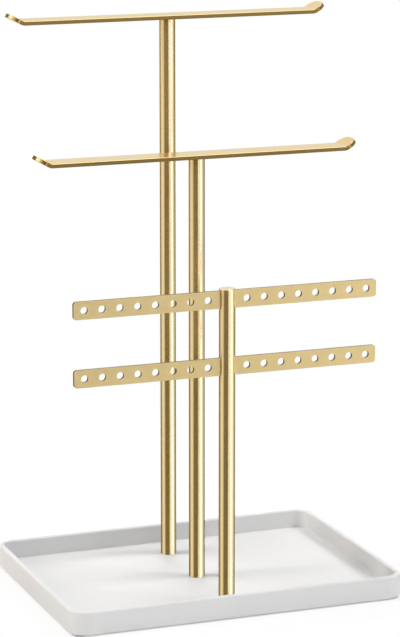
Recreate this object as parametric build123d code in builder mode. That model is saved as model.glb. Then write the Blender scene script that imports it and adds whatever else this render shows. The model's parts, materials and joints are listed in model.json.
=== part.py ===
from build123d import *
import os
from math import radians, sin, tan

os.makedirs("parts", exist_ok=True)

# Free-standing jewelry stand, in millimetres.
# +X runs along the bars, +Y goes to the back, +Z is up, and the origin is under the tray's centre on the table.

# Tray
TRAY_WIDTH = 218.0
TRAY_DEPTH = 160.0
TRAY_HEIGHT = 14.5
TRAY_CORNER_RADIUS = 12.0
TRAY_WALL = 3.4
TRAY_FLOOR = 2.6
RIM_ROUNDING = 1.4
FLOOR_FILLET = 0.6
BASE_ROUNDING = 0.5

# Foot pads, let into the underside of the tray
PAD_DIAMETER = 12.0
PAD_THICKNESS = 1.5
PAD_RECESS = 0.5
PAD_EDGE_DISTANCE = 17.0
PAD_ROUNDING = 0.3

# Posts
POST_DIAMETER = 10.0
POST_WALL = 1.0
POST_SPACING = 52.0
REAR_POST_LENGTH = 348.8
MIDDLE_POST_LENGTH = 268.6
FRONT_POST_LENGTH = 195.4
PLUG_LENGTH = 14.0
PLUG_CHAMFER = 0.3

# Base screws, countersunk from below, and the thread in the foot plugs
SCREW_DIAMETER = 4.0
SCREW_LENGTH = 12.0
SCREW_HOLE_DIAMETER = 4.5
COUNTERSINK_DIAMETER = 8.2
HEAD_SET_BACK = 0.1
CROSS_WIDTH = 0.9
CROSS_LENGTH = 4.2
CROSS_DEPTH = 1.2
THREAD_CLEARANCE = 0.05

# Hanging bars
BAR_WIDTH = 18.0
BAR_THICKNESS = 2.5
BAR_FLAT_LENGTH = 194.0
BAR_TIP_RUN = 8.0
BAR_TIP_ANGLE = 30.0
BAR_TIP_RADIUS = 6.5
BAR_BEND_RADIUS = 4.5
BAR_EDGE_ROUNDING = 0.4

# Bar studs
STUD_DIAMETER = 5.0
STUD_LENGTH = 11.0
STUD_RIVET_DIAMETER = 3.0
STUD_RIVET_LENGTH = 1.5

# Earring strips
STRIP_LENGTH = 196.0
STRIP_HEIGHT = 11.0
STRIP_THICKNESS = 2.0
STRIP_CORNER_RADIUS = 2.0
STRIP_EDGE_ROUNDING = 0.3
STRIP_SPACING = 41.6
STRIP_SLOT_CLEARANCE = 0.05
HOLE_DIAMETER = 4.5
HOLE_PITCH = 11.25
FIRST_HOLE_FROM_POST = 12.6
LAST_HOLE_TO_END = 6.5

# Strip grub screws
GRUB_DIAMETER = 3.0
GRUB_SOCKET_WIDTH = 1.5
GRUB_SOCKET_DEPTH = 1.5

# Cap of the front post
CAP_THICKNESS = 1.2
CAP_ROUNDING = 0.6
CAP_SPIGOT_GAP = 0.5

# Heights and places that follow from the sizes above
tray_bottom = PAD_THICKNESS - PAD_RECESS
floor_top = tray_bottom + TRAY_FLOOR
post_radius = POST_DIAMETER / 2
bore_radius = post_radius - POST_WALL
rear_y, middle_y, front_y = POST_SPACING, 0.0, -POST_SPACING
rear_top = floor_top + REAR_POST_LENGTH
middle_top = floor_top + MIDDLE_POST_LENGTH
front_top = floor_top + FRONT_POST_LENGTH
upper_strip_z = front_top - STRIP_HEIGHT / 2
lower_strip_z = upper_strip_z - STRIP_SPACING
slot_width = STRIP_THICKNESS + 2 * STRIP_SLOT_CLEARANCE


def save(piece, name):
    """Labels a finished piece and writes it to its own file."""
    piece.part.label = name
    export_step(piece.part, f"parts/{name}.step")


# Tray: a moulded shell with a rounded rim, three screw holes and four pad recesses
with BuildPart() as tray:
    with BuildSketch(Plane.XY.offset(tray_bottom)):
        RectangleRounded(TRAY_WIDTH, TRAY_DEPTH, TRAY_CORNER_RADIUS)
    extrude(amount=TRAY_HEIGHT)
    outer_bottom = tray.faces().sort_by(Axis.Z)[0].edges()
    fillet(outer_bottom, BASE_ROUNDING)
    with BuildSketch(Plane.XY.offset(floor_top)):
        RectangleRounded(
            TRAY_WIDTH - 2 * TRAY_WALL,
            TRAY_DEPTH - 2 * TRAY_WALL,
            TRAY_CORNER_RADIUS - TRAY_WALL,
        )
    extrude(amount=TRAY_HEIGHT - TRAY_FLOOR, mode=Mode.SUBTRACT)
    floor_face, rim_face = tray.faces().filter_by(Axis.Z).sort_by(Axis.Z)[-2:]
    fillet(floor_face.edges(), FLOOR_FILLET)
    fillet(rim_face.edges(), RIM_ROUNDING)
    with Locations([Location((0, y, tray_bottom), (180, 0, 0)) for y in (rear_y, middle_y, front_y)]):
        CounterSinkHole(
            radius=SCREW_HOLE_DIAMETER / 2,
            counter_sink_radius=COUNTERSINK_DIAMETER / 2,
            depth=TRAY_FLOOR,
            counter_sink_angle=90,
        )
    with BuildSketch(Plane.XY.offset(tray_bottom)):
        with GridLocations(TRAY_WIDTH - 2 * PAD_EDGE_DISTANCE, TRAY_DEPTH - 2 * PAD_EDGE_DISTANCE, 2, 2):
            Circle(PAD_DIAMETER / 2)
    extrude(amount=PAD_RECESS, mode=Mode.SUBTRACT)
save(tray, "tray")

# Foot pads: discs that fill their recesses and stand proud of the underside
for side, x in (("left", -1), ("right", 1)):
    for end, y in (("front", -1), ("rear", 1)):
        pad_x = x * (TRAY_WIDTH / 2 - PAD_EDGE_DISTANCE)
        pad_y = y * (TRAY_DEPTH / 2 - PAD_EDGE_DISTANCE)
        with BuildPart() as foot_pad:
            with BuildSketch(Plane((pad_x, pad_y, 0))):
                Circle(PAD_DIAMETER / 2)
            extrude(amount=PAD_THICKNESS)
            fillet(foot_pad.faces().sort_by(Axis.Z)[0].edges(), PAD_ROUNDING)
        save(foot_pad, f"foot_pad_{end}_{side}")

# Rear and middle posts: plain tubes that stand on the tray floor
for name, y, length in (
    ("rear_post", rear_y, REAR_POST_LENGTH),
    ("middle_post", middle_y, MIDDLE_POST_LENGTH),
):
    with BuildPart() as bar_post:
        with BuildSketch(Plane((0, y, floor_top))):
            Circle(post_radius)
            Circle(bore_radius, mode=Mode.SUBTRACT)
        extrude(amount=length)
    save(bar_post, name)

# Front post: a tube notched at its top for the upper strip and slotted for the lower one
with BuildPart() as front_post:
    with BuildSketch(Plane((0, front_y, floor_top))):
        Circle(post_radius)
        Circle(bore_radius, mode=Mode.SUBTRACT)
    extrude(amount=FRONT_POST_LENGTH)
    with BuildSketch(Plane.YZ):
        for z in (upper_strip_z, lower_strip_z):
            with Locations((front_y, z)):
                Rectangle(slot_width, STRIP_HEIGHT)
    extrude(amount=POST_DIAMETER, both=True, mode=Mode.SUBTRACT)
    with BuildSketch(Plane((0, front_y, 0), x_dir=(-1, 0, 0), z_dir=(0, 1, 0))):
        for z in (upper_strip_z, lower_strip_z):
            with Locations((0, z)):
                Circle(GRUB_DIAMETER / 2)
    extrude(amount=POST_DIAMETER, mode=Mode.SUBTRACT)
save(front_post, "front_post")


def threaded_plug(y, bottom, thread_radius):
    """A round plug with a through thread, the size of a post's bore, standing on the height given."""
    with BuildPart() as plug:
        with BuildSketch(Plane((0, y, bottom))):
            Circle(bore_radius)
            Circle(thread_radius, mode=Mode.SUBTRACT)
        extrude(amount=PLUG_LENGTH)
        outer_rims = plug.edges().filter_by(GeomType.CIRCLE).group_by(SortBy.RADIUS)[-1]
        chamfer(outer_rims, PLUG_CHAMFER)
    return plug


# Foot plugs, at the lower ends of the posts, for the base screws
for name, y in (("rear", rear_y), ("middle", middle_y), ("front", front_y)):
    save(threaded_plug(y, floor_top, SCREW_DIAMETER / 2 + THREAD_CLEARANCE), f"{name}_foot_plug")

# Top plugs, at the upper ends of the two bar posts, for the bar studs
for name, y, top in (("rear", rear_y, rear_top), ("middle", middle_y, middle_top)):
    save(threaded_plug(y, top - PLUG_LENGTH, STUD_DIAMETER / 2 + THREAD_CLEARANCE), f"{name}_top_plug")

# Base screws: countersunk heads with a cross recess, seated in the tray's countersinks
head_radius = COUNTERSINK_DIAMETER / 2 - HEAD_SET_BACK
head_bottom = tray_bottom + HEAD_SET_BACK
for name, y in (("rear", rear_y), ("middle", middle_y), ("front", front_y)):
    with BuildPart() as base_screw:
        with BuildSketch(Plane((0, y, 0), x_dir=(1, 0, 0), z_dir=(0, -1, 0))):
            with BuildLine():
                Polyline(
                    (0, head_bottom),
                    (head_radius, head_bottom),
                    (SCREW_DIAMETER / 2, head_bottom + head_radius - SCREW_DIAMETER / 2),
                    (SCREW_DIAMETER / 2, head_bottom + SCREW_LENGTH),
                    (0, head_bottom + SCREW_LENGTH),
                    close=True,
                )
            make_face()
        revolve(axis=Axis((0, y, 0), (0, 0, 1)))
        with BuildSketch(Plane((0, y, head_bottom))):
            Rectangle(CROSS_LENGTH, CROSS_WIDTH)
            Rectangle(CROSS_WIDTH, CROSS_LENGTH)
        extrude(amount=CROSS_DEPTH, mode=Mode.SUBTRACT)
    save(base_screw, f"{name}_base_screw")


def hanging_bar(y, bottom):
    """A flat bar with rounded edges, both ends bent up and rounded at their corners, and a rivet hole underneath."""
    mid_height = bottom + BAR_THICKNESS / 2
    bend_x = BAR_FLAT_LENGTH / 2 - BAR_THICKNESS / 2 * tan(radians(BAR_TIP_ANGLE / 2))
    tip_x = BAR_FLAT_LENGTH / 2 + BAR_TIP_RUN - BAR_THICKNESS / 2 * sin(radians(BAR_TIP_ANGLE))
    tip_z = mid_height + (tip_x - bend_x) * tan(radians(BAR_TIP_ANGLE))
    with BuildPart() as bar:
        with BuildSketch(Plane((0, y, 0), x_dir=(1, 0, 0), z_dir=(0, -1, 0))):
            with BuildLine():
                FilletPolyline(
                    (-tip_x, tip_z),
                    (-bend_x, mid_height),
                    (bend_x, mid_height),
                    (tip_x, tip_z),
                    radius=BAR_BEND_RADIUS,
                )
            trace(line_width=BAR_THICKNESS)
        extrude(amount=BAR_WIDTH / 2, both=True)
        end_faces = bar.faces().sort_by(Axis.X)
        tip_corners = [end_faces[0].edges(), end_faces[-1].edges()]
        fillet([edge for edges in tip_corners for edge in edges.filter_by(Axis.Y, reverse=True)], BAR_TIP_RADIUS)
        fillet(bar.edges().group_by(SortBy.LENGTH)[-1], BAR_EDGE_ROUNDING)
        with BuildSketch(Plane((0, y, bottom))):
            Circle(STUD_RIVET_DIAMETER / 2)
        extrude(amount=STUD_RIVET_LENGTH, mode=Mode.SUBTRACT)
    return bar


def bar_stud(y, bar_bottom):
    """A stud that turns in a top plug, riveted into the underside of a bar."""
    with BuildPart() as stud:
        with BuildSketch(Plane((0, y, bar_bottom))):
            Circle(STUD_DIAMETER / 2)
        extrude(amount=-STUD_LENGTH)
        chamfer(stud.faces().sort_by(Axis.Z)[0].edges(), PLUG_CHAMFER)
        with BuildSketch(Plane((0, y, bar_bottom))):
            Circle(STUD_RIVET_DIAMETER / 2)
        extrude(amount=STUD_RIVET_LENGTH)
    return stud


# Hanging bars and the studs that carry them
for name, y, top in (("upper_bar", rear_y, rear_top), ("middle_bar", middle_y, middle_top)):
    save(hanging_bar(y, top), name)
    save(bar_stud(y, top), f"{name}_stud")

# Earring strips: flat strips with a row of holes on each side of the post
hole_span = STRIP_LENGTH / 2 - FIRST_HOLE_FROM_POST - LAST_HOLE_TO_END
holes_per_side = int(hole_span / HOLE_PITCH) + 1
hole_places = [
    side * (FIRST_HOLE_FROM_POST + number * HOLE_PITCH)
    for side in (-1, 1)
    for number in range(holes_per_side)
]
for name, z in (("upper_earring_strip", upper_strip_z), ("lower_earring_strip", lower_strip_z)):
    with BuildPart() as strip:
        with BuildSketch(Plane((0, front_y, z), x_dir=(1, 0, 0), z_dir=(0, -1, 0))):
            RectangleRounded(STRIP_LENGTH, STRIP_HEIGHT, STRIP_CORNER_RADIUS)
        extrude(amount=STRIP_THICKNESS / 2, both=True)
        with BuildSketch(Plane((0, front_y, z), x_dir=(1, 0, 0), z_dir=(0, -1, 0))):
            with Locations([(x, 0) for x in hole_places]):
                Circle(HOLE_DIAMETER / 2)
        extrude(amount=STRIP_THICKNESS, both=True, mode=Mode.SUBTRACT)
        flat_faces = strip.faces().filter_by(Axis.Y)
        chamfer(flat_faces.edges(), STRIP_EDGE_ROUNDING)
    save(strip, name)

# Strip grub screws: from the back of the front post to the strips, with a hexagon socket
grub_length = post_radius - STRIP_THICKNESS / 2
for name, z in (("upper_strip_screw", upper_strip_z), ("lower_strip_screw", lower_strip_z)):
    with BuildPart() as grub_screw:
        with BuildSketch(Plane((0, front_y + STRIP_THICKNESS / 2, z), x_dir=(-1, 0, 0), z_dir=(0, 1, 0))):
            Circle(GRUB_DIAMETER / 2)
        extrude(amount=grub_length)
        with BuildSketch(Plane((0, front_y + post_radius, z), x_dir=(-1, 0, 0), z_dir=(0, 1, 0))):
            RegularPolygon(GRUB_SOCKET_WIDTH / 2, 6, major_radius=False)
        extrude(amount=-GRUB_SOCKET_DEPTH, mode=Mode.SUBTRACT)
    save(grub_screw, name)

# Cap of the front post: a rounded disc whose split spigot straddles the upper strip
spigot_length = STRIP_HEIGHT / 2 - GRUB_DIAMETER / 2 - CAP_SPIGOT_GAP
with BuildPart() as front_post_cap:
    with BuildSketch(Plane((0, front_y, front_top))):
        Circle(post_radius)
    extrude(amount=CAP_THICKNESS)
    fillet(front_post_cap.faces().sort_by(Axis.Z)[-1].edges(), CAP_ROUNDING)
    with BuildSketch(Plane((0, front_y, front_top))):
        Circle(bore_radius)
        Rectangle(POST_DIAMETER, slot_width, mode=Mode.SUBTRACT)
    extrude(amount=-spigot_length)
save(front_post_cap, "front_post_cap")
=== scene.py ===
import json
from math import atan2, cos, degrees, pi, radians, sin, tan

import bmesh
import bpy
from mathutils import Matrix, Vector


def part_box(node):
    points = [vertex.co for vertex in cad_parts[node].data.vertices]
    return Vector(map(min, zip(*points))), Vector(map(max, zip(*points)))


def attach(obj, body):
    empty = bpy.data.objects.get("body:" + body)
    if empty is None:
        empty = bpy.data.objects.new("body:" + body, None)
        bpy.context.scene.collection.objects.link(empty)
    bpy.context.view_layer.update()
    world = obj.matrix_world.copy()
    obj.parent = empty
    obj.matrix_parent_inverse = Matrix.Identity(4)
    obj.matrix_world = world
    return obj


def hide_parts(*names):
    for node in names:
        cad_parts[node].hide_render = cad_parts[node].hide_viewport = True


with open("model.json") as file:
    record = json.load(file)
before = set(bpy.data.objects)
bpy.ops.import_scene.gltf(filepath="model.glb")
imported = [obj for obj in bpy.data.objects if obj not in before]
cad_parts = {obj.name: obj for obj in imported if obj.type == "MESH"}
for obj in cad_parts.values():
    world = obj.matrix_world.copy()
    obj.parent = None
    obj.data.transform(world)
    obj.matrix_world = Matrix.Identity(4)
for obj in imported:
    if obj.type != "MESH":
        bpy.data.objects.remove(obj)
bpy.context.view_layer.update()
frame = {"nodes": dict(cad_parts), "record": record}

# Which body and which finish each CAD node belongs to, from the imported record
body_of = {node: body for body, nodes in frame["record"]["behaviour"]["bodies"].items() for node in nodes}
finish_of = {part["node"]: part["material_slot"] for part in frame["record"]["subparts"]}

# Nodes that shape the tray's underside
PADS = [f"foot_pad_{end}_{side}" for end in ("front", "rear") for side in ("left", "right")]
BASE_SCREWS = [f"{post}_base_screw" for post in ("rear", "middle", "front")]

MM = 0.001

# Tray sizes
TRAY_CORNER = 12 * MM
TRAY_WALL = 3.4 * MM
TRAY_FLOOR = 2.6 * MM
RIM_ROUNDING = 1.4 * MM
FLOOR_FILLET = 0.6 * MM
BASE_ROUNDING = 0.5 * MM
SCREW_HOLE_RADIUS = 2.25 * MM

# Pad sizes
PAD_RECESS = 0.5 * MM
PAD_ROUNDING = 0.3 * MM

# Post sizes
POST_WALL = 1 * MM
POST_EDGE = 0.15 * MM
STRIP_PLAY = 0.05 * MM
CAP_ROUNDING = 0.6 * MM

# Hanging bar sizes
BAR_THICKNESS = 2.5 * MM
BAR_FLAT_LENGTH = 194 * MM
BAR_TIP_TURN = radians(30)
BAR_TIP_ROUNDING = 6.5 * MM
BAR_BEND_RADIUS = 4.5 * MM
BAR_EDGE_CHAMFER = 0.18 * MM
RIVET_RADIUS = 1.5 * MM
RIVET_LENGTH = 1.5 * MM

# Earring strip sizes
STRIP_CORNER = 2 * MM
STRIP_EDGE_CHAMFER = 0.12 * MM
HOLE_RADIUS = 2.25 * MM
HOLE_PITCH = 11.25 * MM
FIRST_HOLE = 12.6 * MM
HOLES_PER_SIDE = 8

# How finely round shapes are divided
ROUND_SIDES = 128
HOLE_SIDES = 48
TRAY_CORNER_STEPS = 20
TRAY_EDGE_STEPS = 5
PAD_EDGE_STEPS = 4
POST_EDGE_STEPS = 2
CAP_EDGE_STEPS = 6
BAR_BEND_STEPS = 8
BAR_TIP_STEPS = 12
STRIP_CORNER_STEPS = 8

# Edges are shaded smooth under the first angle, and are sharp enough for a chamfer over the second
SMOOTH_UNDER = radians(32)
SHARP_OVER = radians(50)

# How closely faces and edges have to match what they are picked by
SAME_HEIGHT = 0.02 * MM
FACING_SHARE = 0.9
PARALLEL_SHARE = 0.999
UPRIGHT_SHARE = 0.1
AXIS_Y, AXIS_Z = 1, 2

# Room that a cutter has outside the piece that it cuts, and the longest sliver of edge closed up after it
CUT_ROOM = 1 * MM
SLIVER = 0.005 * MM

# A Mix node's colour sockets, by number because other sockets of the node have the same names
MIX_FIRST, MIX_SECOND, MIX_COLOUR = 6, 7, 2


# Modelling steps

def alone(piece):
    """Leaves one object selected and active."""
    bpy.ops.object.select_all(action="DESELECT")
    piece.select_set(True)
    bpy.context.view_layer.objects.active = piece


def placed(name):
    """Names the object that was just added, and moves its place and size into its mesh."""
    piece = bpy.context.active_object
    piece.name = name
    piece.data.name = name
    bpy.ops.object.transform_apply(location=True, rotation=True, scale=True)
    return piece


def add_box(name, low, high):
    """A box between two corners."""
    low, high = Vector(low), Vector(high)
    bpy.ops.object.select_all(action="DESELECT")
    bpy.ops.mesh.primitive_cube_add(size=1, location=(low + high) / 2, scale=high - low)
    return placed(name)


def add_round(name, centre, radius, bottom, top, sides=ROUND_SIDES):
    """An upright cylinder on a centre line, between two heights."""
    bpy.ops.object.select_all(action="DESELECT")
    bpy.ops.mesh.primitive_cylinder_add(
        vertices=sides,
        radius=radius,
        depth=top - bottom,
        location=(centre.x, centre.y, (bottom + top) / 2),
    )
    return placed(name)


def add_cross_pin(name, x, z, radius, front, back):
    """A cylinder that lies from front to back."""
    bpy.ops.object.select_all(action="DESELECT")
    bpy.ops.mesh.primitive_cylinder_add(
        vertices=HOLE_SIDES,
        radius=radius,
        depth=back - front,
        location=(x, (front + back) / 2, z),
        rotation=(pi / 2, 0, 0),
    )
    return placed(name)


def edit(piece):
    """Opens one piece, and nothing else, in edit mode."""
    alone(piece)
    bpy.ops.object.mode_set(mode="EDIT")


def leave_edit():
    """Closes the piece that is open in edit mode."""
    bpy.ops.object.mode_set(mode="OBJECT")


def pick_faces(piece, test):
    """Selects the faces of an open piece that pass a test, and nothing else."""
    bpy.ops.mesh.select_mode(type="FACE")
    bpy.ops.mesh.select_all(action="DESELECT")
    shape = bmesh.from_edit_mesh(piece.data)
    shape.normal_update()
    for face in shape.faces:
        if test(face):
            face.select_set(True)
    bmesh.update_edit_mesh(piece.data)


def pick_edges(piece, test):
    """Selects the edges of an open piece that pass a test, and nothing else."""
    bpy.ops.mesh.select_mode(type="EDGE")
    bpy.ops.mesh.select_all(action="DESELECT")
    shape = bmesh.from_edit_mesh(piece.data)
    shape.normal_update()
    for edge in shape.edges:
        if test(edge):
            edge.select_set(True)
    bmesh.update_edit_mesh(piece.data)


def faces_way(face, x=0, z=0):
    """True if a face looks along x or z, whichever is given as 1 or as -1."""
    return face.normal.dot((x, 0, z)) > FACING_SHARE


def runs_along(edge, axis):
    """True if an edge is parallel to an axis."""
    run = edge.verts[1].co - edge.verts[0].co
    return abs(run[axis]) > PARALLEL_SHARE * run.length


def rim_edge(edge, height):
    """True if an edge lies at a height and has an upright face beside it."""
    level = all(abs(vert.co.z - height) < SAME_HEIGHT for vert in edge.verts)
    return level and any(abs(face.normal.z) < UPRIGHT_SHARE for face in edge.link_faces)


def push(x=0, z=0):
    """Extrudes the selected faces."""
    bpy.ops.mesh.extrude_region_move(TRANSFORM_OT_translate={"value": (x, 0, z)})


def round_edges(radius, steps):
    """Rounds the selected edges."""
    bpy.ops.mesh.bevel(offset=radius, segments=steps, affect="EDGES")


def apply_modifier(piece, kind, **settings):
    """Adds a modifier to a piece and applies it."""
    modifier = piece.modifiers.new(kind, kind)
    for name, value in settings.items():
        setattr(modifier, name, value)
    alone(piece)
    bpy.ops.object.modifier_apply(modifier=modifier.name)


def cut(piece, cutters):
    """Takes the cutters' shapes out of a piece, removes the cutters and closes up the slivers they leave."""
    for cutter in cutters:
        apply_modifier(piece, "BOOLEAN", operation="DIFFERENCE", solver="EXACT", object=cutter)
        bpy.data.objects.remove(cutter)
    edit(piece)
    bpy.ops.mesh.select_all(action="SELECT")
    bpy.ops.mesh.remove_doubles(threshold=SLIVER)
    leave_edit()


def break_edges(piece, width):
    """Takes the sharpness off every sharp edge of a piece with a fine chamfer."""
    apply_modifier(piece, "BEVEL", width=width, segments=1, limit_method="ANGLE", angle_limit=SHARP_OVER)


def dress(piece, node, material):
    """Shades a finished piece and lets it stand for its CAD node, on the node's body and with its finish."""
    alone(piece)
    bpy.ops.object.shade_smooth_by_angle(angle=SMOOTH_UNDER)
    apply_modifier(piece, "WEIGHTED_NORMAL", keep_sharp=True)
    piece.data.materials.clear()
    piece.data.materials.append(material)
    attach(piece, body_of[node])
    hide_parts(node)


# Pieces

def countersink_cutter(screw, bottom, floor):
    """The shape of a screw hole that widens towards the tray's underside for the screw's head."""
    head_low, head_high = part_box(screw)
    centre = (head_low + head_high) / 2
    head_radius = (head_high.x - head_low.x) / 2 + head_low.z - bottom
    cone_top = bottom + head_radius - SCREW_HOLE_RADIUS
    widening = head_radius / SCREW_HOLE_RADIUS
    cutter = add_round("screw_cutter", centre, SCREW_HOLE_RADIUS, cone_top, floor + CUT_ROOM, HOLE_SIDES)
    edit(cutter)
    pick_faces(cutter, lambda face: faces_way(face, z=-1))
    push(z=bottom - cone_top)
    bpy.ops.transform.resize(value=(widening, widening, 1), center_override=(centre.x, centre.y, bottom))
    push(z=-CUT_ROOM)
    leave_edit()
    return cutter


def moulded_tray():
    """A rounded box, hollowed from above, with a soft rim, a floor fillet, pad recesses and screw holes."""
    low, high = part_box("tray")
    floor = low.z + TRAY_FLOOR
    tray = add_box("moulded_tray", low, high)
    edit(tray)
    pick_edges(tray, lambda edge: runs_along(edge, AXIS_Z))
    round_edges(TRAY_CORNER, TRAY_CORNER_STEPS)
    pick_faces(tray, lambda face: faces_way(face, z=1))
    bpy.ops.mesh.inset(thickness=TRAY_WALL)
    push(z=floor - high.z)
    for height, rounding in ((floor, FLOOR_FILLET), (high.z, RIM_ROUNDING), (low.z, BASE_ROUNDING)):
        pick_edges(tray, lambda edge: rim_edge(edge, height))
        round_edges(rounding, TRAY_EDGE_STEPS)
    leave_edit()
    cutters = []
    for pad in PADS:
        pad_low, pad_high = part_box(pad)
        radius = (pad_high.x - pad_low.x) / 2
        centre = (pad_low + pad_high) / 2
        cutters.append(add_round("pad_cutter", centre, radius, low.z - CUT_ROOM, low.z + PAD_RECESS))
    for screw in BASE_SCREWS:
        cutters.append(countersink_cutter(screw, low.z, floor))
    cut(tray, cutters)
    return tray


def foot_pad(node, name):
    """A soft disc with a rounded lower edge."""
    low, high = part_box(node)
    pad = add_round(name, (low + high) / 2, (high.x - low.x) / 2, low.z, high.z)
    edit(pad)
    pick_edges(pad, lambda edge: rim_edge(edge, low.z))
    round_edges(PAD_ROUNDING, PAD_EDGE_STEPS)
    leave_edit()
    return pad


def post_tube(node, name):
    """A tube with softly broken edges at both ends."""
    low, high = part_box(node)
    tube = add_round(name, (low + high) / 2, (high.x - low.x) / 2, low.z, high.z)
    edit(tube)
    pick_faces(tube, lambda face: faces_way(face, z=1) or faces_way(face, z=-1))
    # Bridging the two inset ends opens the bore.
    bpy.ops.mesh.inset(thickness=POST_WALL)
    bpy.ops.mesh.bridge_edge_loops()
    pick_edges(tube, lambda edge: rim_edge(edge, low.z) or rim_edge(edge, high.z))
    round_edges(POST_EDGE, POST_EDGE_STEPS)
    leave_edit()
    return tube


def slotted_post_tube():
    """The front tube, notched at its top and slotted lower down for the strips, with screw holes behind."""
    tube = post_tube("front_post", "front_post_tube")
    low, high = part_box("front_post")
    cutters = []
    for level in ("upper", "lower"):
        strip_low, strip_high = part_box(f"{level}_earring_strip")
        room_above = CUT_ROOM if level == "upper" else 0
        slot_low = (low.x - CUT_ROOM, strip_low.y - STRIP_PLAY, strip_low.z)
        slot_high = (high.x + CUT_ROOM, strip_high.y + STRIP_PLAY, strip_high.z + room_above)
        cutters.append(add_box("slot_cutter", slot_low, slot_high))
        screw_low, screw_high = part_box(f"{level}_strip_screw")
        centre = (screw_low + screw_high) / 2
        radius = (screw_high.x - screw_low.x) / 2
        behind = high.y + CUT_ROOM
        cutters.append(add_cross_pin("grub_cutter", centre.x, centre.z, radius, screw_low.y, behind))
    cut(tube, cutters)
    return tube


def post_end_cap():
    """A disc with a rounded edge, on a split spigot that straddles the upper strip."""
    low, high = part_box("front_post_cap")
    tube_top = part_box("front_post")[1].z
    strip_low, strip_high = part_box("upper_earring_strip")
    cap = add_round("front_post_end_cap", (low + high) / 2, (high.x - low.x) / 2, tube_top, high.z)
    edit(cap)
    pick_edges(cap, lambda edge: rim_edge(edge, high.z))
    round_edges(CAP_ROUNDING, CAP_EDGE_STEPS)
    pick_faces(cap, lambda face: faces_way(face, z=-1))
    bpy.ops.mesh.inset(thickness=POST_WALL)
    push(z=low.z - tube_top)
    leave_edit()
    slot_low = (low.x - CUT_ROOM, strip_low.y - STRIP_PLAY, low.z - CUT_ROOM)
    slot_high = (high.x + CUT_ROOM, strip_high.y + STRIP_PLAY, tube_top)
    cut(cap, [add_box("spigot_cutter", slot_low, slot_high)])
    return cap


def hanging_bar(node, name):
    """A flat bar with softened edges and rounded, turned-up ends: one half is modelled and mirrored."""
    low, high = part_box(node)
    centre = (low + high) / 2
    middle_height = low.z + BAR_THICKNESS / 2
    # The bend starts and ends equally far from the corner, where the flat's and the tip's middle lines meet.
    corner = BAR_FLAT_LENGTH / 2 - BAR_THICKNESS / 2 * tan(BAR_TIP_TURN / 2)
    bend_reach = BAR_BEND_RADIUS * tan(BAR_TIP_TURN / 2)
    bend_start = corner - bend_reach
    bend_end = corner + bend_reach * cos(BAR_TIP_TURN)
    # The tip is as long as the node's height lets it be, with its upper edge chamfered.
    tip_rise = (
        high.z - middle_height - BAR_THICKNESS / 2 * cos(BAR_TIP_TURN)
        + BAR_EDGE_CHAMFER * sin(BAR_TIP_TURN)
    )
    tip = corner + tip_rise / tan(BAR_TIP_TURN)

    def tip_corner(edge):
        """True if an edge is one of the tip's two corners."""
        return not runs_along(edge, AXIS_Y) and all(vert.co.x > tip - BAR_THICKNESS for vert in edge.verts)

    bar = add_box(name, (0, low.y, low.z), (bend_start, high.y, low.z + BAR_THICKNESS))
    edit(bar)
    # The inner end stays open for the mirrored half.
    pick_faces(bar, lambda face: faces_way(face, x=-1))
    bpy.ops.mesh.delete(type="FACE")
    pick_faces(bar, lambda face: faces_way(face, x=1))
    bend_centre = (bend_start, centre.y, middle_height + BAR_BEND_RADIUS)
    bpy.ops.mesh.spin(steps=BAR_BEND_STEPS, angle=BAR_TIP_TURN, center=bend_centre, axis=(0, 1, 0))
    push(x=tip - bend_end, z=(tip - bend_end) * tan(BAR_TIP_TURN))
    pick_edges(bar, tip_corner)
    round_edges(BAR_TIP_ROUNDING, BAR_TIP_STEPS)
    leave_edit()
    apply_modifier(bar, "MIRROR", use_clip=True)
    break_edges(bar, BAR_EDGE_CHAMFER)
    rivet_top = low.z + RIVET_LENGTH
    cut(bar, [add_round("rivet_cutter", centre, RIVET_RADIUS, low.z - CUT_ROOM, rivet_top, HOLE_SIDES)])
    return bar


def drilled_strip(node, name):
    """A flat strip with rounded corners and a row of holes on each side of the post."""
    low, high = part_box(node)
    height = (low.z + high.z) / 2
    front, back = low.y - CUT_ROOM, high.y + CUT_ROOM
    strip = add_box(name, low, high)
    edit(strip)
    pick_edges(strip, lambda edge: runs_along(edge, AXIS_Y))
    round_edges(STRIP_CORNER, STRIP_CORNER_STEPS)
    leave_edit()
    cutters = []
    for side in (-1, 1):
        for number in range(HOLES_PER_SIDE):
            x = side * (FIRST_HOLE + number * HOLE_PITCH)
            cutters.append(add_cross_pin("hole_cutter", x, height, HOLE_RADIUS, front, back))
    cut(strip, cutters)
    break_edges(strip, STRIP_EDGE_CHAMFER)
    return strip


# Materials

def srgb(code):
    """A colour as linear values, from its sRGB hex code."""
    shares = [int(code[start:start + 2], 16) / 255 for start in (1, 3, 5)]
    linear = [share / 12.92 if share <= 0.04045 else ((share + 0.055) / 1.055) ** 2.4 for share in shares]
    return (*linear, 1)


def add_node(tree, kind, inputs=None, **settings):
    """Adds a node with its own settings, and with inputs that are values or other nodes' outputs."""
    made = tree.nodes.new(kind)
    for name, value in settings.items():
        setattr(made, name, value)
    for name, value in (inputs or {}).items():
        if isinstance(value, bpy.types.NodeSocket):
            tree.links.new(value, made.inputs[name])
        else:
            made.inputs[name].default_value = value
    return made


def new_material(name):
    """An empty node material, with its output node."""
    material = bpy.data.materials.new(name)
    material.use_nodes = True
    tree = material.node_tree
    tree.nodes.clear()
    return material, tree, add_node(tree, "ShaderNodeOutputMaterial")


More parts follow.
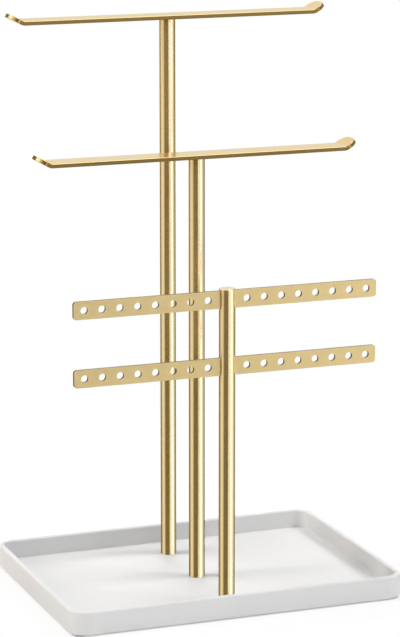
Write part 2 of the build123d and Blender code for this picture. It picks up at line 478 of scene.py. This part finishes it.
def moulded_white_abs():
    """White ABS from a finely matted mould: an even, soft sheen, with the faint peel and flow of moulding."""
    material, tree, output = new_material("moulded_white_abs")
    peel_width, flow_width = 2.5 * MM, 40 * MM
    place = add_node(tree, "ShaderNodeTexCoord").outputs["Object"]
    peel = add_node(tree, "ShaderNodeTexNoise", {"Vector": place, "Scale": 1 / peel_width, "Detail": 2})
    flow = add_node(tree, "ShaderNodeTexNoise", {"Vector": place, "Scale": 1 / flow_width, "Detail": 3})
    gloss = add_node(tree, "ShaderNodeMapRange", {
        "Value": flow.outputs["Fac"],
        "To Min": 0.46,
        "To Max": 0.54,
    })
    bump = add_node(tree, "ShaderNodeBump", {
        "Height": peel.outputs["Fac"],
        "Strength": 0.06,
        "Distance": 0.05 * MM,
    })
    tint = add_node(
        tree,
        "ShaderNodeMix",
        {"Factor": flow.outputs["Fac"], MIX_FIRST: srgb("#ECECEC"), MIX_SECOND: srgb("#E9E9E9")},
        data_type="RGBA",
    )
    plastic = add_node(tree, "ShaderNodeBsdfPrincipled", {
        "Base Color": tint.outputs[MIX_COLOUR],
        "Roughness": gloss.outputs["Result"],
        "IOR": 1.53,
        "Specular IOR Level": 0.2,
        "Normal": bump.outputs["Normal"],
    })
    tree.links.new(plastic.outputs["BSDF"], output.inputs["Surface"])
    return material


def polished_gold_tube():
    """Gold plating on steel tube, polished round its axis: a crisp gloss across it, drawn out along it."""
    material, tree, output = new_material("polished_gold_plated_tube")
    # Polishing marks are about 0.1 mm apart, and drawn at 1.5 mm so that they show.
    mark_width, mark_length = 1.5 * MM, 40 * MM
    scale = (1 / mark_length, 1 / mark_length, 1 / mark_width)
    place = add_node(tree, "ShaderNodeTexCoord").outputs["Object"]
    rings = add_node(tree, "ShaderNodeMapping", {"Vector": place, "Scale": scale})
    marks = add_node(tree, "ShaderNodeTexNoise", {"Vector": rings.outputs["Vector"], "Scale": 1, "Detail": 1})
    gloss = add_node(tree, "ShaderNodeMapRange", {
        "Value": marks.outputs["Fac"],
        "To Min": 0.25,
        "To Max": 0.28,
    })
    bump = add_node(tree, "ShaderNodeBump", {
        "Height": marks.outputs["Fac"],
        "Strength": 0.01,
        "Distance": 0.02 * MM,
    })
    metal = add_node(tree, "ShaderNodeBsdfPrincipled", {
        "Base Color": srgb("#F4E0B8"),
        "Metallic": 1,
        "Roughness": gloss.outputs["Result"],
        "Anisotropic": 0.95,
        "Anisotropic Rotation": 0.25,
        "Normal": bump.outputs["Normal"],
    })
    tree.links.new(metal.outputs["BSDF"], output.inputs["Surface"])
    return material


def plating_tint_and_painted_edge_shade(tree, normal, to_front, elsewhere):
    """The colour of plated flat stock: one on faces to the front and back, and another on all the rest; the
    darker of the two is painted shade and painted dark reflection on the stock's edges.
    """
    facing = add_node(tree, "ShaderNodeSeparateXYZ", {"Vector": normal}).outputs["Y"]
    frontal = add_node(tree, "ShaderNodeMath", {0: facing}, operation="ABSOLUTE")
    share = add_node(tree, "ShaderNodeMapRange", {
        "Value": frontal.outputs[0],
        "From Min": 0.45,
        "From Max": 0.95,
    })
    tint = add_node(
        tree,
        "ShaderNodeMix",
        {"Factor": share.outputs["Result"], MIX_FIRST: srgb(elsewhere), MIX_SECOND: srgb(to_front)},
        data_type="RGBA",
    )
    return tint.outputs[MIX_COLOUR]


def satin_gold_bar():
    """Gold plating on flat bar, brushed lengthways: a soft sheen in fine lines, and long edges darkened with
    painted shade.
    """
    material, tree, output = new_material("satin_gold_plated_bar")
    # Brush lines are about 0.1 mm apart, and drawn at 0.8 mm so that they show.
    line_width, line_length = 0.8 * MM, 60 * MM
    scale = (1 / line_length, 1 / line_width, 1 / line_width)
    coordinates = add_node(tree, "ShaderNodeTexCoord").outputs
    lines = add_node(tree, "ShaderNodeMapping", {"Vector": coordinates["Object"], "Scale": scale})
    brush = add_node(tree, "ShaderNodeTexNoise", {"Vector": lines.outputs["Vector"], "Scale": 1, "Detail": 3})
    gloss = add_node(tree, "ShaderNodeMapRange", {
        "Value": brush.outputs["Fac"],
        "To Min": 0.15,
        "To Max": 0.18,
    })
    bump = add_node(tree, "ShaderNodeBump", {
        "Height": brush.outputs["Fac"],
        "Strength": 0.04,
        "Distance": 0.02 * MM,
    })
    metal = add_node(tree, "ShaderNodeBsdfPrincipled", {
        # The darker colour on the long front and back edges is painted shade and painted dark reflection.
        "Base Color": plating_tint_and_painted_edge_shade(tree, coordinates["Normal"], "#B0955C", "#E6C988"),
        "Metallic": 1,
        "Roughness": gloss.outputs["Result"],
        "Normal": bump.outputs["Normal"],
    })
    tree.links.new(metal.outputs["BSDF"], output.inputs["Surface"])
    return material


def satin_gold_strip():
    """Lacquered gold plating on stamped, tumbled steel: an even, grained satin, with painted shade darkening
    the cut edges and hole walls.
    """
    material, tree, output = new_material("satin_gold_plated_strip")
    # The tumbled grain is about 0.1 mm, and drawn at 0.7 mm so that it shows.
    grain_width = 0.7 * MM
    coordinates = add_node(tree, "ShaderNodeTexCoord").outputs
    grain = add_node(tree, "ShaderNodeTexNoise", {
        "Vector": coordinates["Object"],
        "Scale": 1 / grain_width,
        "Detail": 2,
    })
    gloss = add_node(tree, "ShaderNodeMapRange", {
        "Value": grain.outputs["Fac"],
        "To Min": 0.28,
        "To Max": 0.33,
    })
    bump = add_node(tree, "ShaderNodeBump", {
        "Height": grain.outputs["Fac"],
        "Strength": 0.08,
        "Distance": 0.02 * MM,
    })
    # The lacquer scatters a third of the light, so the strip keeps its gold where it mirrors something dark.
    metal = add_node(tree, "ShaderNodeBsdfPrincipled", {
        # The darker colour on the cut edges and hole walls is painted shade and painted dark reflection.
        "Base Color": plating_tint_and_painted_edge_shade(tree, coordinates["Normal"], "#E8D098", "#6E5C34"),
        "Metallic": 0.65,
        "Roughness": gloss.outputs["Result"],
        "Normal": bump.outputs["Normal"],
    })
    tree.links.new(metal.outputs["BSDF"], output.inputs["Surface"])
    return material


def zinc_plated_steel():
    """Bright zinc on turned steel: a cool grey with a cloudy, slightly uneven sheen."""
    material, tree, output = new_material("zinc_plated_steel")
    cloud_width = 1.5 * MM
    place = add_node(tree, "ShaderNodeTexCoord").outputs["Object"]
    clouds = add_node(tree, "ShaderNodeTexNoise", {"Vector": place, "Scale": 1 / cloud_width, "Detail": 4})
    gloss = add_node(tree, "ShaderNodeMapRange", {
        "Value": clouds.outputs["Fac"],
        "To Min": 0.25,
        "To Max": 0.45,
    })
    tint = add_node(
        tree,
        "ShaderNodeMix",
        {"Factor": clouds.outputs["Fac"], MIX_FIRST: srgb("#C9CDD0"), MIX_SECOND: srgb("#B9BABA")},
        data_type="RGBA",
    )
    metal = add_node(tree, "ShaderNodeBsdfPrincipled", {
        "Base Color": tint.outputs[MIX_COLOUR],
        "Metallic": 1,
        "Roughness": gloss.outputs["Result"],
    })
    tree.links.new(metal.outputs["BSDF"], output.inputs["Surface"])
    return material


def soft_pad_rubber():
    """Pale silicone rubber: matt, with a fine cast grain."""
    material, tree, output = new_material("soft_pad_rubber")
    grain_width = 0.4 * MM
    place = add_node(tree, "ShaderNodeTexCoord").outputs["Object"]
    grain = add_node(tree, "ShaderNodeTexNoise", {"Vector": place, "Scale": 1 / grain_width, "Detail": 3})
    gloss = add_node(tree, "ShaderNodeMapRange", {
        "Value": grain.outputs["Fac"],
        "To Min": 0.65,
        "To Max": 0.85,
    })
    bump = add_node(tree, "ShaderNodeBump", {
        "Height": grain.outputs["Fac"],
        "Strength": 0.3,
        "Distance": 0.05 * MM,
    })
    rubber = add_node(tree, "ShaderNodeBsdfPrincipled", {
        "Base Color": srgb("#D9D9D6"),
        "Roughness": gloss.outputs["Result"],
        "IOR": 1.42,
        "Normal": bump.outputs["Normal"],
    })
    tree.links.new(rubber.outputs["BSDF"], output.inputs["Surface"])
    return material


# The stand

white_abs = moulded_white_abs()
gold_tube = polished_gold_tube()
gold_bar = satin_gold_bar()
gold_strip = satin_gold_strip()
zinc = zinc_plated_steel()
rubber = soft_pad_rubber()

tray = moulded_tray()
dress(tray, "tray", white_abs)
# The posts mirror the studio, and not the tray, right down to their feet.
tray.visible_glossy = False
for pad in PADS:
    dress(foot_pad(pad, f"{pad}_disc"), pad, rubber)
for post in ("rear_post", "middle_post"):
    dress(post_tube(post, f"{post}_tube"), post, gold_tube)
dress(slotted_post_tube(), "front_post", gold_tube)
dress(post_end_cap(), "front_post_cap", gold_tube)
for level in ("upper", "middle"):
    bar = hanging_bar(f"{level}_bar", f"{level}_hanging_bar")
    dress(bar, f"{level}_bar", gold_bar)
for level in ("upper", "lower"):
    strip = drilled_strip(f"{level}_earring_strip", f"{level}_drilled_strip")
    dress(strip, f"{level}_earring_strip", gold_strip)

# Screws, plugs and studs keep their CAD shapes.
for name, finish in finish_of.items():
    if finish == "zinc_steel":
        for material_slot in frame["nodes"][name].material_slots:
            material_slot.material = zinc


# Camera, at the photograph's viewing angle

CAMERA_TURN = radians(20.79)
CAMERA_PITCH = radians(12.43)
CAMERA_DISTANCE = 1744.1 * MM
CAMERA_TARGET = Vector((2.19, 0, 170.56)) * MM
FOCAL_PIXELS = 2800.9
FRAME_HEIGHT_PIXELS = 637

to_camera = Vector((
    -sin(CAMERA_TURN) * cos(CAMERA_PITCH),
    -cos(CAMERA_TURN) * cos(CAMERA_PITCH),
    sin(CAMERA_PITCH),
))
bpy.ops.object.camera_add(
    location=CAMERA_TARGET + to_camera * CAMERA_DISTANCE,
    rotation=(-to_camera).to_track_quat("-Z", "Y").to_euler(),
)
camera = bpy.context.active_object
# The sensor's width spans the frame's longer side, which is its height.
camera.data.lens = FOCAL_PIXELS / FRAME_HEIGHT_PIXELS * camera.data.sensor_width
bpy.context.scene.camera = camera


# Studio

FLOOR_SIZE = 40
CARD_DISTANCE = 10
CARD_SIDES = 360

# The floor's shadow: full this far in under the tray, this share of it beside the tray, fading with distance
SHADOW_UNDER = 4 * MM
SHADOW_SHARE = 0.15
SHADOW_NEAR = 0.1
SHADOW_FAR = 0.5

# Each card's turns from the camera, its height angles, both in degrees, its colour and its strength
CARDS = {
    # In front, mirrored as the dark stripes of the posts
    "dark_card_front": ((-45, 19), (-22, 2), "#584820", 1),
    "brown_card_front_high": ((-45, 19), (2, 25), "#A89464", 1),
    "brown_card_front_low": ((-45, 19), (-55, -22), "#7E6C42", 1),
    # To the front right, mirrored by the strips and the bars' long edges
    "grey_card": ((19, 52), (-25, 0), "#B2B0A7", 1),
    "bright_card_high": ((19, 52), (0, 60), "#FFFFFF", 1.9),
    "bright_card_low": ((19, 52), (-55, -25), "#FFFFFF", 1.8),
    # To the right, mirrored as the bright bands of the posts
    "bright_card_high_right": ((52, 84), (26, 60), "#FFFFFF", 1.9),
    "pale_card_beside": ((52, 84), (13, 26), "#FFFFFF", 1),
    "grey_card_beside": ((52, 84), (-2, 13), "#B2B0A7", 1),
    "bright_card_right": ((52, 84), (-20, -2), "#FFFFFF", 2.5),
    "bright_card_low_right": ((52, 84), (-55, -20), "#FFFFFF", 1.3),
    "grey_card_far_right": ((84, 125), (-4, 16), "#A5A39A", 1),
    "grey_card_right": ((98, 125), (-55, -4), "#DCDACC", 1),
    # To the left, mirrored as the lighter left sides of the posts
    "grey_card_left": ((-60, -45), (-55, 25), "#C4BFA6", 1),
    "warm_card_left": ((-100, -60), (-55, 20), "#FAEED0", 1),
    "warm_card_left_high": ((-120, -100), (-13, 16), "#F2E6C8", 1),
    "bright_card_left": ((-122, -60), (20, 60), "#FFFFFF", 1.6),
    "dark_card_left": ((-148, -100), (-55, -13), "#6A6038", 1),
    "dark_card_left_high": ((-148, -120), (-13, 16), "#6A6038", 1),
    # Behind, mirrored at the posts' outlines and in the bars' tops
    "dark_card_back_right": ((125, 172), (-55, 16), "#857F66", 0.7),
    "grey_card_back_left": ((-168, -148), (-55, 12), "#B5AD80", 1),
    "pale_card_behind_right": ((172, 180), (-5, 11), "#EFEDD8", 1),
    "pale_card_behind_left": ((-180, -172), (-5, 11), "#EFEDD8", 1),
    # Above and below
    "bright_card_above_left": ((-180, 60), (60, 85), "#FFFFFF", 1.2),
    "bright_card_above_right": ((60, 125), (60, 85), "#FFFFFF", 3),
    "bright_card_above_back": ((125, 180), (60, 85), "#FFFFFF", 1.2),
    "dark_card_below": ((-180, 180), (-85, -55), "#857E53", 1),
}


def seen_directly(tree):
    """1 for rays from the camera, from gloss and through glass that met nothing matt on their way, else 0."""
    path = add_node(tree, "ShaderNodeLightPath").outputs
    mirrored = add_node(
        tree,
        "ShaderNodeMath",
        {0: path["Is Camera Ray"], 1: path["Is Glossy Ray"]},
        operation="MAXIMUM",
    )
    clear = add_node(
        tree,
        "ShaderNodeMath",
        {0: mirrored.outputs[0], 1: path["Is Transmission Ray"]},
        operation="MAXIMUM",
    )
    # The depth counts matt bounces in whole numbers.
    unspread = add_node(tree, "ShaderNodeMath", {0: path["Diffuse Depth"], 1: 0.5}, operation="LESS_THAN")
    direct = add_node(
        tree,
        "ShaderNodeMath",
        {0: clear.outputs[0], 1: unspread.outputs[0]},
        operation="MULTIPLY",
    )
    return direct.outputs[0]


def white_world(ambient):
    """A white background, and an even light of the strength given."""
    world = bpy.data.worlds.new("white_studio")
    world.use_nodes = True
    tree = world.node_tree
    tree.nodes.clear()
    light = add_node(tree, "ShaderNodeBackground", {"Color": srgb("#FFFFFF"), "Strength": ambient})
    backdrop = add_node(tree, "ShaderNodeBackground", {"Color": srgb("#FFFFFF"), "Strength": 1})
    mix = add_node(tree, "ShaderNodeMixShader", {
        0: seen_directly(tree),
        1: light.outputs[0],
        2: backdrop.outputs[0],
    })
    add_node(tree, "ShaderNodeOutputWorld", {"Surface": mix.outputs[0]})
    bpy.context.scene.world = world


def shadow_share(tree):
    """How much shadow the floor shows: all in the gap under the tray, a little beside it, none far off."""
    place = add_node(tree, "ShaderNodeTexCoord").outputs["Object"]
    aside = add_node(tree, "ShaderNodeVectorMath", {0: place}, operation="ABSOLUTE")
    beyond = add_node(
        tree,
        "ShaderNodeVectorMath",
        {0: aside.outputs["Vector"], 1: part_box("tray")[1]},
        operation="SUBTRACT",
    )
    sides = add_node(tree, "ShaderNodeSeparateXYZ", {"Vector": beyond.outputs["Vector"]}).outputs
    clear = add_node(tree, "ShaderNodeMath", {0: sides["X"], 1: sides["Y"]}, operation="MAXIMUM")
    close = add_node(tree, "ShaderNodeMapRange", {
        "Value": clear.outputs[0],
        "From Min": -SHADOW_UNDER,
        "From Max": 0,
        "To Min": 1,
        "To Max": SHADOW_SHARE,
    })
    fading = add_node(tree, "ShaderNodeMapRange", {
        "Value": clear.outputs[0],
        "From Min": SHADOW_NEAR,
        "From Max": SHADOW_FAR,
        "To Min": 1,
        "To Max": 0,
    })
    share = add_node(
        tree,
        "ShaderNodeMath",
        {0: close.outputs["Result"], 1: fading.outputs["Result"]},
        operation="MULTIPLY",
    )
    return share.outputs[0]


def white_floor():
    """A pale floor that looks white and keeps the stand's shadow."""
    bpy.ops.object.select_all(action="DESELECT")
    bpy.ops.mesh.primitive_plane_add(size=FLOOR_SIZE)
    floor = placed("studio_floor")
    material, tree, output = new_material("pale_floor")
    bounce = add_node(tree, "ShaderNodeBsdfDiffuse", {"Color": srgb("#F0F0F0")})
    shadowed = add_node(tree, "ShaderNodeBsdfDiffuse", {"Color": srgb("#FFFFFF")})
    glow = add_node(tree, "ShaderNodeEmission", {"Color": srgb("#FFFFFF"), "Strength": 1})
    white = add_node(tree, "ShaderNodeMixShader", {
        0: shadow_share(tree),
        1: glow.outputs[0],
        2: shadowed.outputs[0],
    })
    mix = add_node(tree, "ShaderNodeMixShader", {
        0: seen_directly(tree),
        1: bounce.outputs[0],
        2: white.outputs[0],
    })
    tree.links.new(mix.outputs[0], output.inputs["Surface"])
    floor.data.materials.append(material)
    floor.visible_glossy = False


def turn_from_camera(point):
    """The angle round the stand from the camera to a point, in degrees, positive to the picture's right."""
    ahead = -point.x * sin(CAMERA_TURN) - point.y * cos(CAMERA_TURN)
    right = point.x * cos(CAMERA_TURN) - point.y * sin(CAMERA_TURN)
    return degrees(atan2(right, ahead))


def studio_card(name, turns, heights, colour, strength):
    """A card far off, between two turns from the camera and two height angles, seen only in gloss."""
    bottom, top = [CARD_DISTANCE * tan(radians(height)) for height in heights]
    bpy.ops.object.select_all(action="DESELECT")
    bpy.ops.mesh.primitive_cylinder_add(
        vertices=CARD_SIDES,
        radius=CARD_DISTANCE,
        depth=top - bottom,
        location=(0, 0, (bottom + top) / 2),
        end_fill_type="NOTHING",
    )
    card = placed(name)
    edit(card)
    pick_faces(card, lambda face: not turns[0] < turn_from_camera(face.calc_center_median()) < turns[1])
    bpy.ops.mesh.delete(type="FACE")
    leave_edit()
    material, tree, output = new_material(name)
    # Metal mirrors the card to the camera, but throws no bright spots of it onto the tray.
    depth = add_node(tree, "ShaderNodeLightPath").outputs["Diffuse Depth"]
    level = add_node(tree, "ShaderNodeMapRange", {"Value": depth, "To Min": strength, "To Max": 0})
    glow = add_node(tree, "ShaderNodeEmission", {"Color": srgb(colour), "Strength": level.outputs["Result"]})
    tree.links.new(glow.outputs[0], output.inputs["Surface"])
    card.data.materials.append(material)
    card.visible_camera = False
    card.visible_diffuse = False
    card.visible_shadow = False


def soft_lamp(name, turn, height, distance, width, depth, watts, colour="#FFFFFF"):
    """A soft lamp aimed at the tray, at a turn from the camera and a height angle. It gives no gloss."""
    around = CAMERA_TURN - radians(turn)
    away = Vector((
        -sin(around) * cos(radians(height)),
        -cos(around) * cos(radians(height)),
        sin(radians(height)),
    ))
    bpy.ops.object.light_add(
        type="AREA",
        location=away * distance,
        rotation=away.to_track_quat("Z", "Y").to_euler(),
    )
    lamp = bpy.context.active_object
    lamp.name = name
    lamp.data.shape = "RECTANGLE"
    lamp.data.size = width
    lamp.data.size_y = depth
    lamp.data.energy = watts
    lamp.data.color = srgb(colour)[:3]
    lamp.visible_glossy = False


white_world(ambient=0.12)
white_floor()
for name, card in CARDS.items():
    studio_card(name, *card)
soft_lamp("lamp_left", turn=-80, height=25, distance=1.5, width=0.4, depth=0.4, watts=6, colour="#FFF1E7")
soft_lamp("lamp_left_high", turn=-90, height=60, distance=1.5, width=0.6, depth=0.6, watts=9.4)
soft_lamp("lamp_front", turn=21, height=30, distance=1.5, width=0.8, depth=0.8, watts=4.3)
soft_lamp("lamp_front_low", turn=21, height=0.8, distance=1.2, width=1, depth=0.03, watts=1.3)
soft_lamp("lamp_right", turn=90, height=50, distance=1.2, width=0.5, depth=0.5, watts=5.8)
soft_lamp("lamp_back", turn=180, height=25, distance=1.4, width=1, depth=0.4, watts=6.5)

bpy.context.scene.view_settings.view_transform = "Standard"
